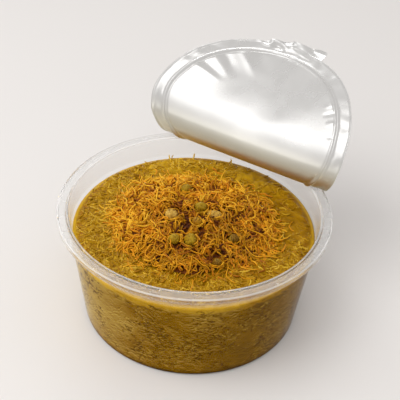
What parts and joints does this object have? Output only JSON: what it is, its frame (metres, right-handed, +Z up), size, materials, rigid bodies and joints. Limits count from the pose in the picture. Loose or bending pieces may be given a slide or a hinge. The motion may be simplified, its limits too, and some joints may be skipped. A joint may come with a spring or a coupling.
{
  "type": "vermicelli pudding",
  "caption": "Vermicelli pudding in a clear plastic pot, topped with a nest of fried vermicelli and round nuts, its foil lid peeled back.",
  "frame": {"origin": "centre of the pot's flat base, on the surface it stands on", "axes": "+Z up along the pot's axis; front of the pot towards -Y; the lid is peeled back towards +Y and +X"},
  "size_m": [0.1009, 0.1154, 0.0761],
  "materials": {
    "clear_plastic": "clear, slightly milky moulded polypropylene, smooth and glossy",
    "pudding": "wet mustard-brown milk pudding, mottled by short noodles",
    "fried_vermicelli": "oil-fried vermicelli, golden orange with a soft sheen",
    "topping": "olive-khaki nuts with a fine wrinkled skin and a slight sheen",
    "foil": "satin sealing foil, slightly wrinkled, with a pressed ring near its edge"
  },
  "bodies": {
    "root": {"cup": "clear_plastic", "pudding": "pudding", "vermicelli_nest": "fried_vermicelli", "topping_1": "topping", "topping_2": "topping", "topping_3": "topping", "topping_4": "topping", "topping_5": "topping", "topping_6": "topping", "topping_7": "topping", "topping_8": "topping", "topping_9": "topping", "foil_lid": "foil"}
  },
  "joints": []
}
